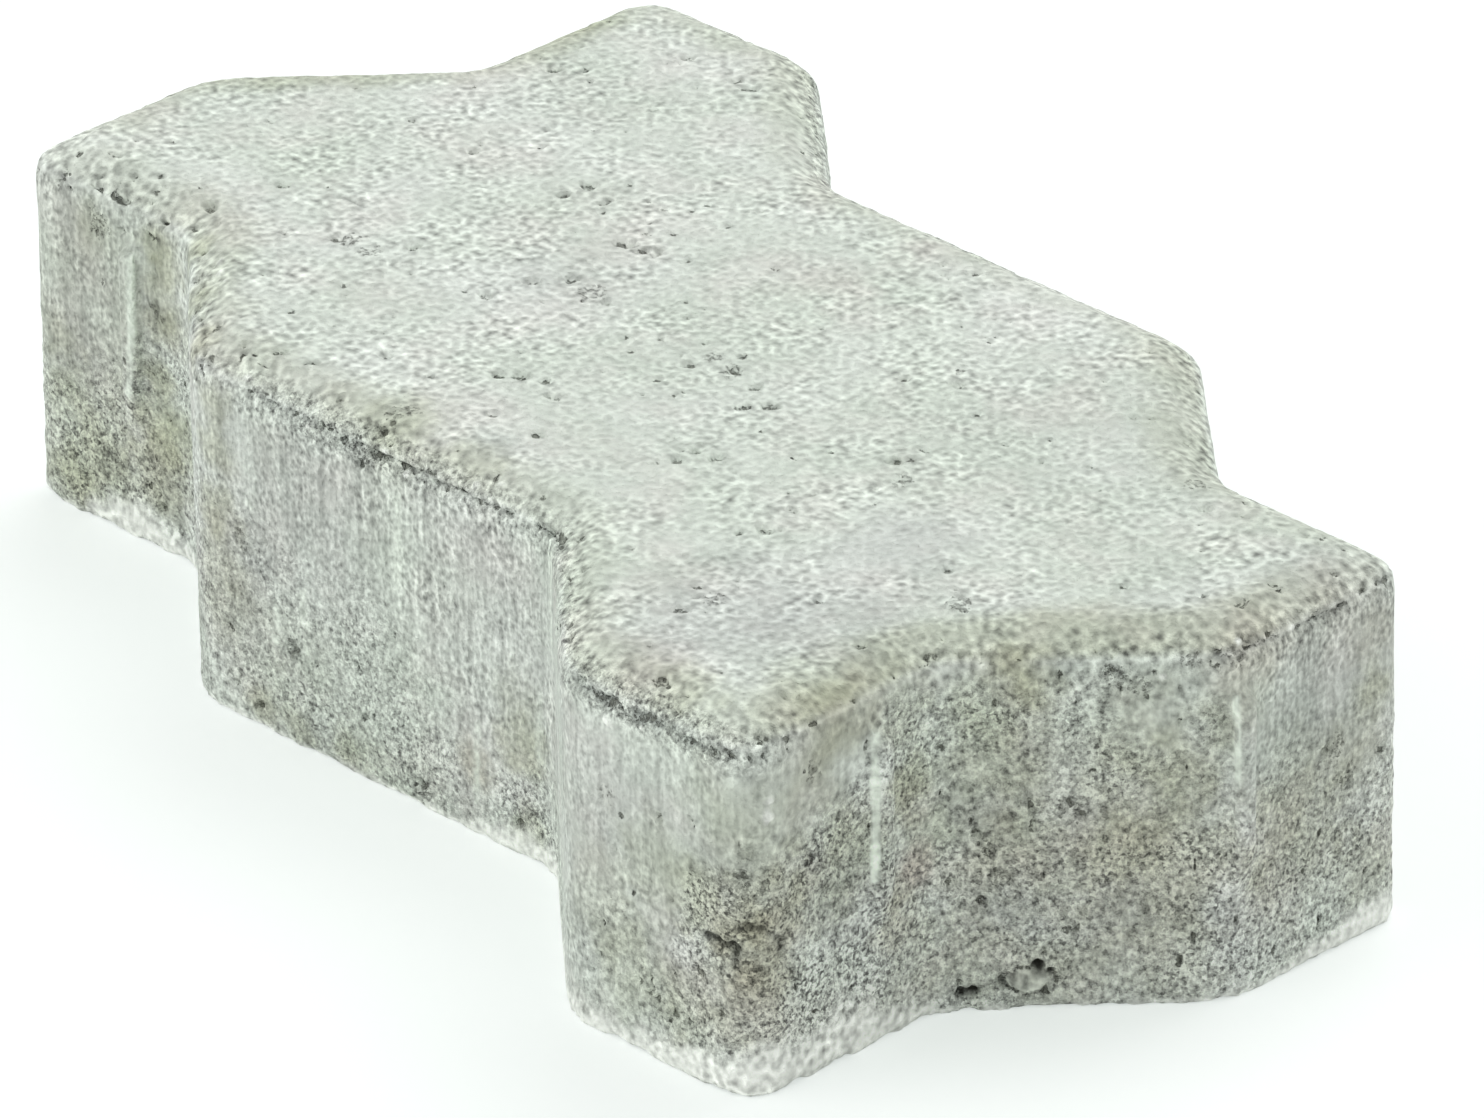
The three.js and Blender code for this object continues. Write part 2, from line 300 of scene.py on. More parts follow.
# Where the sandy skin of the top is calmer, in the same terms
CALM = [
    ((240, 180), 9, 0.6), ((660, 125), 8, 0.5), ((770, 130), 8, 0.6), ((722, 245), 11, 0.8),
    ((775, 235), 8, 0.5), ((360, 305), 9, 0.5), ((425, 300), 9, 0.5), ((600, 365), 9, 0.5),
    ((655, 360), 8, 0.5), ((600, 425), 12, 0.8), ((660, 430), 9, 0.4), ((600, 480), 11, 0.8),
    ((665, 485), 9, 0.4), ((840, 425), 8, 0.4), ((960, 425), 8, 0.4), ((1080, 420), 10, 0.6),
    ((1140, 425), 9, 0.7), ((1020, 480), 10, 0.5), ((1140, 480), 8, 0.4), ((780, 485), 8, 0.4),
    ((660, 545), 8, 0.3), ((840, 545), 10, 0.7), ((900, 545), 11, 0.8), ((1080, 545), 10, 0.7),
    ((1140, 545), 9, 0.5), ((420, 200), 8, 0.4),
]

# Rust and a pink cast, in the same terms
RUST = [
    ((755, 940), 8, 0.5), ((754, 931), 3, 0.45), ((718, 942), 3, 0.35), ((745, 900), 7, 0.2),
    ((790, 885), 8, 0.2), ((745, 1000), 8, 0.4), ((1300, 612), 9, 0.2), ((1350, 598), 8, 0.15),
    ((1378, 630), 6, 0.35), ((812, 738), 7, 0.2), ((850, 715), 7, 0.3), ((900, 790), 6, 0.25),
    ((1250, 635), 8, 0.25), ((905, 885), 5, 0.35), ((476, 765), 4, 0.5), ((895, 930), 5, 0.4),
]
PINK = [
    ((620, 250), 8, 0.4), ((820, 280), 9, 0.45), ((920, 255), 6, 0.4), ((650, 660), 8, 0.3),
    ((917, 865), 4, 0.9), ((590, 200), 7, 0.2), ((830, 190), 6, 0.4), ((1180, 365), 6, 0.3),
    ((680, 970), 7, 0.4), ((915, 810), 4, 0.5), ((1080, 780), 14, 0.32), ((1140, 880), 14, 0.28),
]

# Soil on the bevels: its strength at places along the edge between bevel and sides
BEVEL_SOIL = [
    ((60, 192), 0.15), ((120, 205), 0.15), ((170, 228), 0.3), ((203, 300), 0.3), ((205, 350), 0.3),
    ((240, 392), 0.25), ((320, 425), 0.15), ((380, 458), 0.25), ((420, 475), 0.1), ((480, 500), 0.3),
    ((545, 532), 0.15), ((566, 590), 0.2), ((572, 650), 0.35), ((600, 700), 0.3), ((680, 735), 0.2),
    ((750, 760), 0.25), ((790, 765), 0.45), ((830, 742), 0.65), ((900, 700), 0.5), ((960, 675), 0.4),
    ((1050, 672), 0.5), ((1150, 680), 0.5), ((1230, 655), 0.45), ((1320, 620), 0.25),
    ((1380, 595), 0.15),
]

# How strong the stains of the hidden sides are, as a share of those that they repeat
FAR_SIDE_SHARE = 0.8

# How ragged the edge between bevel and sides is, at places along it
ARRIS_WEAR = [
    ((60, 195), 0.2), ((120, 205), 0.4), ((170, 225), 0.3), ((215, 380), 0.6), ((320, 425), 1.0),
    ((440, 485), 0.8), ((540, 530), 0.7), ((575, 690), 0.8), ((620, 715), 1.0), ((700, 742), 0.9),
    ((750, 760), 0.7), ((800, 765), 0.3), ((860, 730), 0.1), ((930, 685), 0.3), ((1000, 672), 0.35),
    ((1080, 680), 0.45), ((1150, 680), 0.45), ((1230, 655), 0.4), ((1300, 628), 0.5), ((1370, 598), 0.5),
]

# Height of the lime rim in mm, at places along the foot
RIM_HEIGHTS = [
    ((56, 478), 0.5), ((84, 487), 0.8), ((100, 496), 4.5), ((120, 505), 6.2), ((150, 520), 6.0),
    ((184, 532), 2.8), ((215, 685), 0.6), ((300, 735), 0.6), ((420, 795), 1.0), ((480, 822), 2.5),
    ((545, 850), 4.0), ((577, 990), 3.0), ((620, 1020), 2.5), ((680, 1052), 5.5), ((740, 1080), 7.5),
    ((800, 1062), 8.0), ((860, 1035), 8.5), ((905, 1012), 3.5), ((945, 1000), 0.6), ((1050, 1003), 0.3),
    ((1180, 1000), 0.3), ((1260, 978), 0.8), ((1330, 942), 3.5), ((1375, 915), 6.0),
]


# ---- Noise on arrays of points ----

HASH_PRIMES = np.array((374761393, 668265263, 1440662683))
HASH_MIXER = 1274126177
HASH_BITS = 0xFFFFFFFF
HASH_SHARE = 0xFFFF


def cell_random(cells, seed):
    """A fixed random number from 0 to 1 for each whole-numbered cell."""
    mixed = (cells @ HASH_PRIMES + seed * HASH_MIXER) & HASH_BITS
    mixed = ((mixed ^ (mixed >> 13)) * HASH_MIXER) & HASH_BITS
    return ((mixed ^ (mixed >> 16)) & HASH_SHARE) / HASH_SHARE


def ramp(values, low, high):
    """0 at low, 1 at high and smooth between them; low may be the greater."""
    share = np.clip((values - low) / (high - low), 0.0, 1.0)
    return share * share * (3.0 - 2.0 * share)


def noise(points, size, seed):
    """Smooth noise from -1 to 1, whose bumps are about one size across."""
    scaled = points / size
    corner = np.floor(scaled)
    share = scaled - corner
    share = share ** 3 * (share * (6.0 * share - 15.0) + 10.0)
    total = np.zeros(len(points))
    for step in itertools.product((0, 1), repeat=3):
        weight = np.prod(np.where(step, share, 1.0 - share), axis=1)
        total += weight * cell_random(corner.astype(np.int64) + step, seed)
    return 2.0 * total - 1.0


def fractal(points, size, seed, octaves=3):
    """Noise with finer and weaker noise on top of it."""
    total = np.zeros(len(points))
    for octave in range(octaves):
        total += 0.5 ** octave * noise(points, size * 0.5 ** octave, seed + octave)
    return total


def scattered(points, size, seed):
    """For seeds strewn one size apart: the distance to the nearest one, and its own lot."""
    scaled = points / size
    home = np.floor(scaled).astype(np.int64)
    nearest = np.full(len(points), np.inf)
    lot = np.zeros(len(points))
    for step in itertools.product((-1, 0, 1), repeat=3):
        cell = home + step
        seeds = cell + np.stack([cell_random(cell, seed + axis) for axis in (1, 2, 3)], axis=1)
        distance = np.linalg.norm(seeds - scaled, axis=1)
        closer = distance < nearest
        nearest = np.where(closer, distance, nearest)
        lot = np.where(closer, cell_random(cell, seed), lot)
    return nearest, lot


# ---- The stone's surface as arrays ----

# The mesh is remeshed with this voxel in mm, and thinned to these triangles when it is carved
VOXEL = 0.56
TRIANGLES = 196000

# A facet looks down if its normal's Z is under this
DOWNWARD = -0.9


def remeshed_copy(node):
    """A fine, even mesh of the CAD node, as a new object."""
    copy = bpy.data.objects.new("stone", node.data.copy())
    bpy.context.scene.collection.objects.link(copy)
    remesh = copy.modifiers.new("remesh", "REMESH")
    remesh.mode = "VOXEL"
    remesh.voxel_size = VOXEL * MM
    bake_modifiers(copy)
    return copy


def bake_modifiers(piece):
    graph = bpy.context.evaluated_depsgraph_get()
    mesh = bpy.data.meshes.new_from_object(piece.evaluated_get(graph))
    piece.modifiers.clear()
    piece.data = mesh


def count_triangles(piece):
    return sum(len(face.vertices) - 2 for face in piece.data.polygons)


def thin_out(piece):
    """Merges the smallest facets until the stone has its share of triangles."""
    decimate = piece.modifiers.new("decimate", "DECIMATE")
    decimate.ratio = min(1.0, TRIANGLES / count_triangles(piece))
    bake_modifiers(piece)
    piece.data.shade_smooth()


def foot_outline(node):
    """The outline of the underside, anticlockwise, in millimetres."""
    mesh = bmesh.new()
    mesh.from_mesh(node.data)
    bmesh.ops.remove_doubles(mesh, verts=mesh.verts, dist=0.01 * MM)
    after = {}
    for face in mesh.faces:
        if face.normal.z > DOWNWARD or face.calc_center_median().z > 0.1 * MM:
            continue
        for loop in face.loops:
            beyond = loop.link_loop_radial_next.face
            if beyond.normal.z > DOWNWARD:
                after[loop.link_loop_next.vert] = loop.vert
    start = next(iter(after))
    chain = [start]
    while after[chain[-1]] is not start:
        chain.append(after[chain[-1]])
    outline = np.array([vertex.co.xy for vertex in chain]) / MM
    mesh.free()
    return outline


# What the material knows about each place of the surface, from 0 to 1. The masks of pits, holes and grooves
# also carry painted shade, and those of scrapes and lime painted highlights
MASKS = ("pit_shade_and_dirt", "hole_shade_and_rust", "coarse", "lime_and_highlight", "rubbed_and_highlight", "streak", "drawn", "wall", "calm",
         "soil", "dull_and_groove_shade", "rust", "pink")
EVERYWHERE = slice(None)


class Surface:
    """Places, plan coordinates and relief of the stone's vertices, all in millimetres."""

    def __init__(self, piece, outline):
        mesh = piece.data
        count = len(mesh.vertices)
        flat = np.empty(count * 3)
        mesh.vertices.foreach_get("co", flat)
        self.points = flat.reshape(count, 3) / MM
        mesh.vertex_normals.foreach_get("vector", flat)
        self.normals = flat.reshape(count, 3).copy()
        self.height = self.points[:, 2]
        self.outline = outline
        self.inset, self.along = self.plan_place(self.points[:, :2])
        self.to_arris = np.hypot(self.inset, self.height - ARRIS_HEIGHT)
        self.push = np.zeros(count)
        self.masks = {name: np.zeros(count) for name in MASKS}

        # The regions of the stone, from 0 to 1 with soft borders
        self.under = ramp(self.height, 0.6, 0.1) * ramp(self.inset, 0.3, 1.5)
        self.side = ramp(self.inset, 0.8, 0.4) * ramp(self.height, ARRIS_HEIGHT, ARRIS_HEIGHT - 1)
        self.top = ramp(self.height, ARRIS_HEIGHT, ARRIS_HEIGHT + 1)
        self.flat_top = ramp(self.inset, BEVEL_WIDTH, BEVEL_WIDTH + 2) * self.top

    def plan_place(self, plan):
        """Distance inwards from the outline, and distance along it."""
        inset = np.full(len(plan), np.inf)
        along = np.zeros(len(plan))
        travelled = 0.0
        for start, end in zip(self.outline, np.roll(self.outline, -1, axis=0)):
            run = end - start
            length = np.hypot(*run)
            offset = plan - start
            share = np.clip(offset @ run / length ** 2, 0.0, 1.0)
            distance = np.linalg.norm(offset - share[:, None] * run, axis=1)
            inwards = run[0] * offset[:, 1] - run[1] * offset[:, 0] >= 0
            closer = distance < np.abs(inset)
            inset = np.where(closer, np.where(inwards, distance, -distance), inset)
            along = np.where(closer, travelled + share * length, along)
            travelled += length
        self.perimeter = travelled
        return inset, along

    def near(self, place, radius):
        """The vertices within a radius of a place: indices and places."""
        found = np.flatnonzero(np.linalg.norm(self.points - place, axis=1) < radius)
        return found, self.points[found]

    def along_line(self, start, end, reach):
        """The vertices near a straight line: indices, places and distances from it."""
        run = end - start
        length = np.linalg.norm(run)
        near, points = self.near((start + end) / 2, length / 2 + reach)
        share = np.clip((points - start) @ run / length ** 2, 0.0, 1.0)
        return near, points, np.linalg.norm(points - start - share[:, None] * run, axis=1)

    def raise_mask(self, name, values, where=EVERYWHERE):
        """Raises a mask to the values, where it is lower."""
        mask = self.masks[name]
        mask[where] = np.clip(np.maximum(mask[where], values), 0.0, 1.0)

    def close_grain(self, share, where=EVERYWHERE):
        """Takes away a share of the pits and of the open grain."""
        for name in ("pit_shade_and_dirt", "coarse"):
            self.masks[name][where] *= 1.0 - share

    def store(self, piece):
        """Gives the piece its relief, which stays above the floor, and its masks."""
        moved = (self.points + self.push[:, None] * self.normals) * MM
        moved[:, 2] = np.maximum(moved[:, 2], 0.0)
        piece.data.vertices.foreach_set("co", moved.ravel())
        for name, values in self.masks.items():
            attribute = piece.data.attributes.new(name, "FLOAT", "POINT")
            attribute.data.foreach_set("value", values)
        piece.data.update()


# ---- Relief ----

# Depths of the relief that covers whole faces, in mm
WAVE_DEPTH = 0.22
RIPPLE_DEPTH = 0.10
SKIN_DEPTH = 0.10
FINE_SKIN_DEPTH = 0.08
TOP_PIT_DEPTH = 0.5
DRAG_DEPTH = 0.16
CRUMB_DEPTH = 0.24
CRUMB_OFFSET = 0.14
SAND_DEPTH = 0.16
SIDE_PIT_DEPTH = 0.7
CHIP_DEPTH = 0.7

# The share of its relief that the underside lacks
UNDERSIDE_EVENNESS = 0.7

# Drag marks of the mould: share, width and length in mm, and seed
STREAKS = [(0.45, 1.5, 26.0, 51), (0.30, 0.9, 12.0, 52), (0.45, 4.5, 60.0, 2553)]

# How far past the last seen place the hidden sides take over, in mm
HIDDEN_START = 10.0

# Takes a place on a seen side to its like on a hidden side
HALF_TURN = np.array((-1.0, -1.0, 1.0))

# How far the ragged edge of a patch or of a hollow may reach, in its own radii
PATCH_REACH = 1.6
HOLLOW_REACH = 2.5


def along_profile(surface, sight, table):
    """A value that changes along the foot, from a table; the hidden sides repeat the seen ones."""
    places = np.array([sight.place(pixel)[:2] for pixel, _ in table])
    _, along = surface.plan_place(places)
    values = np.array([value for _, value in table])
    seen = (along - along[0]) % surface.perimeter
    order = np.argsort(seen)
    seen, values = seen[order], values[order]
    turned = seen + surface.perimeter / 2
    hidden = turned > seen[-1] + HIDDEN_START
    places = np.concatenate([seen, turned[hidden]])
    values = np.concatenate([values, values[hidden]])
    here = (surface.along - along[0]) % surface.perimeter
    return np.interp(here, places, values, period=surface.perimeter)


def undulate(surface):
    """Faces that aren't quite even, as they come out of the mould."""
    surface.push += WAVE_DEPTH * fractal(surface.points, 45.0, seed=11, octaves=2)
    surface.push += RIPPLE_DEPTH * noise(surface.points, 9.0, seed=21)


def grain_top(surface):
    """Sandy skin of the top and the bevels, with strewn pits."""
    points = surface.points
    skin = SKIN_DEPTH * noise(points, 2.0, seed=31) + FINE_SKIN_DEPTH * noise(points, 1.1, seed=32)
    surface.push += surface.top * skin
    crowded = ramp(fractal(points, 22.0, seed=33, octaves=2), -0.2, 0.9)
    bevel = surface.top - surface.flat_top
    spots = fractal(points, 1.9, seed=34) + 0.16 * crowded + 0.08 * bevel
    pits = surface.top * ramp(spots, 0.80, 1.2)
    surface.push -= TOP_PIT_DEPTH * pits
    # Painted shade and dirt in the pits
    surface.raise_mask("pit_shade_and_dirt", 0.6 * pits)


def open_grain(surface, sight):
    """How open the grain of the sides is: coarse below, with a ragged and gradual upper edge."""
    points = surface.points
    reach = along_profile(surface, sight, [(pixel, height) for pixel, height, _ in OPEN_GRAIN])
    share = along_profile(surface, sight, [(pixel, share) for pixel, _, share in OPEN_GRAIN])
    edge = reach + 9.0 * fractal(points, 16.0, seed=41) + 3.0 * noise(points, 4.0, seed=44)
    clusters = 0.85 + 0.2 * fractal(points, 8.0, seed=46, octaves=2)
    coarse = share * clusters * ramp(surface.height, edge + 11.0, edge - 11.0)
    return surface.side * np.clip(coarse, 0.0, 1.0)


def roughen_sides(surface, sight):
    """Drag marks of the mould, and open grain below them."""
    points = surface.points
    coarse = open_grain(surface, sight)
    drawn = along_profile(surface, sight, DRAWN) * surface.side * (1.0 - coarse)
    streaks = sum(share * noise(points, np.array((width, width, length)), seed)
                  for share, width, length, seed in STREAKS)
    surface.push += DRAG_DEPTH * drawn * streaks
    surface.raise_mask("streak", 0.5 + 0.5 * streaks)
    surface.raise_mask("drawn", drawn)
    surface.raise_mask("coarse", coarse)
    heap_crumbs(surface, coarse)
    strew_side_pits(surface, coarse)


def heap_crumbs(surface, coarse):
    """Open grain: crumbs of sand and cement with crevices between them."""
    points = surface.points
    bent = points + 0.45 * noise(points, 1.7, seed=53)[:, None]
    crumbs, lot = scattered(bent, 1.6, seed=54)
    surface.push += coarse * (CRUMB_DEPTH * (0.62 - crumbs) + CRUMB_OFFSET * (lot - 0.5))
    surface.push += coarse * SAND_DEPTH * noise(points, 0.95, seed=58)
    clumps = fractal(points, 4.0, seed=59)
    surface.push += (0.05 * surface.side + 0.10 * coarse) * clumps
    # Painted shade and dirt in the crevices
    crevices = coarse * ramp(crumbs + 0.25 * clumps, 0.6, 1.0)
    surface.raise_mask("pit_shade_and_dirt", 0.5 * crevices)


def strew_side_pits(surface, coarse):
    """Upright pits, which are deeper and closer together in the open grain."""
    size = np.array((1.6, 1.6, 2.6))
    spots = fractal(surface.points, size, seed=62) - 0.06 + 0.14 * coarse
    pits = surface.side * ramp(spots, 0.85, 1.25) * (0.5 + 0.5 * coarse)
    surface.push -= SIDE_PIT_DEPTH * pits
    # Painted shade and dirt in the pits
    surface.raise_mask("pit_shade_and_dirt", 0.9 * pits)


def wear_arris(surface, sight):
    """The edge between bevel and sides is rounded, ragged and nibbled away in places."""
    points = surface.points
    wear = along_profile(surface, sight, ARRIS_WEAR)
    rounding = 0.2 + 0.3 * wear * (1.0 + fractal(points, 5.0, seed=71, octaves=2))
    surface.push -= ramp(surface.to_arris, 3.0, 0.3) * rounding
    at_edge = ramp(surface.to_arris, 4.2, 1.4)
    chips = at_edge * ramp(fractal(points, 2.2, seed=74) + 0.35 * wear, 0.75, 1.2)
    surface.push -= CHIP_DEPTH * chips
    # Painted shade and dirt in the chips
    surface.raise_mask("pit_shade_and_dirt", 0.8 * chips)
    surface.raise_mask("coarse", 0.8 * wear * ramp(surface.to_arris, 6.0, 2.0))


def strew_specks(surface, sight):
    """Clusters of pores too fine to carve one by one, with painted shade and dirt in them."""
    radius, strength, pixels = SPECKS
    for pixel in pixels:
        place = sight.place(pixel)
        near, points = surface.near(place, PATCH_REACH * radius)
        distance = np.linalg.norm(points - place, axis=1) / radius + 0.4 * noise(points, 2.5, seed=611)
        surface.raise_mask("pit_shade_and_dirt", strength * ramp(distance, 1.2, 0.5), near)


def carve_pits(surface, sight, pits, mask="pit_shade_and_dirt"):
    """Irregular hollows at their places in the photograph, or crumbs where the depth is negative."""
    radius, depth, darkness, pixels = pits
    lots = np.array([(x, y, 0) for x, y in pixels])
    sizes = 0.7 + 0.7 * cell_random(lots, 17)
    strengths = darkness * (0.55 + 0.45 * cell_random(lots, 18))
    for number, (pixel, size) in enumerate(zip(pixels, sizes)):
        place = sight.place(pixel)
        carve_hollow(surface, place, size * radius, size * depth, number, mask, strengths[number])


def carve_hollow(surface, place, radius, depth, seed, mask, strength):
    """One hollow with a lobed outline."""
    near, points = surface.near(place, HOLLOW_REACH * radius)
    stretch = 0.8 + 0.6 * cell_random(np.array([seed, 0, 0]), 19)
    distance = np.linalg.norm((points - place) * np.array((1.0, 1.0, stretch)), axis=1) / radius
    lobes = 0.45 * noise(points, 1.3 * radius, seed=100 + seed) + 0.35 * noise(points, 0.8, seed=400 + seed)
    hollow = ramp(distance + lobes, 1.25, 0.4)
    surface.push[near] -= depth * hollow
    # In a pit, the painted shade and dirt keeps nearer the middle than the hollow
    shade = hollow ** 2 if mask == "pit_shade_and_dirt" else hollow
    surface.raise_mask(mask, strength * shade, near)


def carve_holes(surface, sight):
    """Open holes beside the pebble, painted near black as their shade, and the darkest marks of rust."""
    for number, (pixel, radius, depth, darkness) in enumerate(HOLES):
        carve_hollow(surface, sight.place(pixel), radius, depth, 700 + number, "hole_shade_and_rust", darkness)


def bare_pebble(surface, sight):
    """A pebble at the foot that is bare of cement, with a broken crevice round it."""
    pixel, radius, height = PEBBLE
    place = sight.place(pixel)
    near, points = surface.near(place, HOLLOW_REACH * radius)
    flattened = (points - place) * np.array((0.8, 0.8, 1.3))
    distance = np.linalg.norm(flattened, axis=1) / radius + 0.25 * noise(points, 2.5, seed=601)
    swell = ramp(distance, 1.0, 0.7)
    ring = ramp(np.abs(distance - 1.1), 0.25, 0.05) * ramp(noise(points, 2.0, seed=602), -0.4, 0.2)
    surface.push[near] = surface.push[near] * (1.0 - 0.9 * swell) + height * swell - 0.5 * ring
    surface.close_grain(0.7 * swell, near)
    # Painted shade and dirt in the crevice round the pebble
    surface.raise_mask("pit_shade_and_dirt", 0.7 * ring, near)


def spread_patches(surface, sight, name, patches, seed):
    """Soft stains with cloudy edges, and the like on the far sides, after half a turn."""
    for pixel, radius, strength in patches:
        place = sight.place(pixel)
        spread_patch(surface, name, place, radius, strength, seed)
        if place[2] < ARRIS_HEIGHT:
            turned = place * HALF_TURN
            spread_patch(surface, name, turned, radius, FAR_SIDE_SHARE * strength, seed)


def spread_patch(surface, name, place, radius, strength, seed):
    near, points = surface.near(place, PATCH_REACH * radius)
    distance = np.linalg.norm(points - place, axis=1) / radius
    cloud = 0.30 * noise(points, 0.5 * radius, seed) + 0.15 * noise(points, 2.0, seed + 1)
    patch = strength * ramp(distance + cloud, 1.35, 0.25)
    surface.masks[name][near] = 1.0 - (1.0 - surface.masks[name][near]) * (1.0 - patch)


def soil_bevels(surface, sight):
    """Soil lies on the bevels and a little way in over the top."""
    strength = along_profile(surface, sight, BEVEL_SOIL)
    cloud = 2.5 * fractal(surface.points, 9.0, seed=541)
    band = surface.top * ramp(surface.inset + cloud, 13.0, 5.0)
    surface.masks["soil"] = 1.0 - (1.0 - surface.masks["soil"]) * (1.0 - strength * band)


def carve_grooves(surface, sight):
    """Grooves that fade out and come back along their length, with painted shade in them."""
    for number, (width, depth, darkness, pixels) in enumerate(GROOVES):
        places = [sight.place(pixel) for pixel in pixels]
        for start, end in zip(places, places[1:]):
            near, points, distance = surface.along_line(start, end, 2.0 * width)
            distance += 0.45 * width * fractal(points, 2.0, seed=300 + number, octaves=2)
            groove = ramp(distance, width, 0.2 * width)
            groove *= 0.3 + 0.7 * ramp(noise(points, 3.0, seed=350 + number), -0.4, 0.3)
            surface.push[near] -= depth * groove
            # Painted shade in the groove
            surface.raise_mask("dull_and_groove_shade", darkness * groove, near)
            surface.raise_mask("pit_shade_and_dirt", darkness * groove ** 2, near)


def crumble_foot(surface, sight):
    """A ragged rim of lime runs round the foot, and the lowest edge has crumbled."""
    points = surface.points
    height = along_profile(surface, sight, RIM_HEIGHTS)
    height = height * (1.0 + 0.35 * fractal(points, 7.0, seed=81)) + 1.0 * noise(points, 2.2, seed=84)
    rim = surface.side * ramp(surface.height, 1.25 * height + 0.6, 0.6 * height - 0.8)
    surface.push = np.where(rim > 0, surface.push * (1.0 - 0.8 * rim) + 0.2 * rim, surface.push)
    surface.close_grain(0.9 * rim)
    surface.raise_mask("lime_and_highlight", rim)
    to_foot = np.hypot(surface.inset, surface.height)
    crumbled = 0.45 + 0.35 * fractal(points, 3.0, seed=85, octaves=2)
    surface.push -= ramp(to_foot, 1.8, 0.0) * crumbled


def scrape_and_highlight_sides(surface, sight):
    """Pale scrapes and painted highlights, and the like on the far sides, after half a turn. The nibs are
    smoothest.
    """
    surface.push *= 1.0 - 0.6 * ramp(-surface.inset, 0.25, 0.9)
    for width, strength, upper, lower in SCRAPES_AND_HIGHLIGHTS:
        for turn in (np.ones(3), HALF_TURN):
            start, end = turn * sight.place(upper), turn * sight.place(lower)
            near, points, distance = surface.along_line(start, end, 2.0 * width)
            distance += 0.2 * noise(points, 2.0, seed=91)
            broken = ramp(noise(points, np.array((2.0, 2.0, 5.0)), seed=93), -0.9, -0.4)
            rubbed_and_highlight = strength * broken * ramp(distance, width, 0.4 * width)
            # The painted highlights and the scrapes share one mask
            surface.raise_mask("rubbed_and_highlight", rubbed_and_highlight, near)
            surface.close_grain(rubbed_and_highlight, near)


def carve_relief(surface, sight):
    undulate(surface)
    grain_top(surface)
    roughen_sides(surface, sight)
    wear_arris(surface, sight)
    strew_specks(surface, sight)
    for pits in (DIMPLES, SMALL_PITS, MEDIUM_PITS, LARGE_PITS, ARRIS_CHIPS):
        carve_pits(surface, sight, pits)
    carve_grooves(surface, sight)
    crumble_foot(surface, sight)
    # Pale crumbs, and a painted highlight down the front corner
    carve_pits(surface, sight, PALE_CHIPS_AND_HIGHLIGHT, "lime_and_highlight")
    bare_pebble(surface, sight)
    carve_holes(surface, sight)
    scrape_and_highlight_sides(surface, sight)
    # The underside is the most even face
    surface.push *= 1.0 - UNDERSIDE_EVENNESS * surface.under


def stain(surface, sight):
    surface.raise_mask("wall", surface.side)
    for name, patches, seed in (("soil", SOIL, 510), ("rust", RUST, 520), ("pink", PINK, 530),
                                ("dull_and_groove_shade", DULL, 550), ("calm", CALM, 560)):
        spread_patches(surface, sight, name, patches, seed)
    soil_bevels(surface, sight)


# ---- Material ----

def linear(red, green, blue):
    """A colour given as it looks on screen, from 0 to 255, as the shader wants it."""
    def channel(value):
        value /= 255.0
        return value / 12.92 if value <= 0.04045 else ((value + 0.055) / 1.055) ** 2.4
    return channel(red), channel(green), channel(blue), 1.0


class Graph:
    """Short ways to add nodes to a shader tree."""

    def __init__(self, tree):
        self.tree = tree
        tree.nodes.clear()

    def add(self, kind, inputs=(), **settings):
        node = self.tree.nodes.new(kind)
        for name, value in settings.items():
            setattr(node, name, value)
        for socket, value in dict(inputs).items():
            if isinstance(value, bpy.types.NodeSocket):
                self.tree.links.new(value, node.inputs[socket])
            else:
                node.inputs[socket].default_value = value
        return node

    def math(self, operation, first, second):
        return self.add("ShaderNodeMath", {0: first, 1: second}, operation=operation).outputs[0]

    def mix(self, share, first, second, blend="MIX"):
        inputs = {0: share, 6: first, 7: second}
        node = self.add("ShaderNodeMix", inputs, data_type="RGBA", blend_type=blend)
        return node.outputs[2]

    def blend(self, share, first, second):
        """A number between two others."""
        return self.add("ShaderNodeMix", {0: share, 2: first, 3: second}).outputs[0]

    def mask(self, name):
        return self.add("ShaderNodeAttribute", attribute_name=name).outputs["Fac"]

    def noise(self, place, size, detail=2.0, stretch=(1.0, 1.0, 1.0), roughness=0.55):
        """Noise whose bumps are about size mm across, from 0 to 1 around a half."""
        scale = tuple(1.0 / (size * MM * axis) for axis in stretch)
        mapped = self.add("ShaderNodeMapping", {"Vector": place, "Scale": scale})
        inputs = {"Vector": mapped.outputs[0], "Scale": 1.0, "Detail": detail, "Roughness": roughness}
        return self.add("ShaderNodeTexNoise", inputs).outputs[0]

    def bump(self, height, depth, normal=None):
        """A normal over a relief whose height runs from 0 to 1 for a depth in mm."""
        inputs = {"Height": height, "Distance": depth * MM, "Strength": 1.0}
        if normal:
            inputs["Normal"] = normal
        return self.add("ShaderNodeBump", inputs).outputs[0]

    def grey(self, value):
        return self.add("ShaderNodeCombineColor", {0: value, 1: value, 2: value}).outputs[0]

    def span(self, value, low, high, out_low=0.0, out_high=1.0):
        inputs = {0: value, 1: low, 2: high, 3: out_low, 4: out_high}
        return self.add("ShaderNodeMapRange", inputs).outputs[0]


# Colours of the cement and of its marks, and the tints that multiply them
WALL_TINT = linear(250, 251, 250)
PALE = linear(215, 221, 214)
GREENISH = linear(203, 212, 201)
WARM = linear(213, 212, 206)
# Lime, and a painted highlight down the front corner
LIME_AND_HIGHLIGHT = linear(250, 255, 247)
# Painted shade and dirt in pits
HOLLOW_SHADE_AND_DIRT = linear(78, 80, 68)
# Near black of holes in shade, and of the darkest rust
HOLE_SHADE_AND_RUST = linear(34, 36, 28)
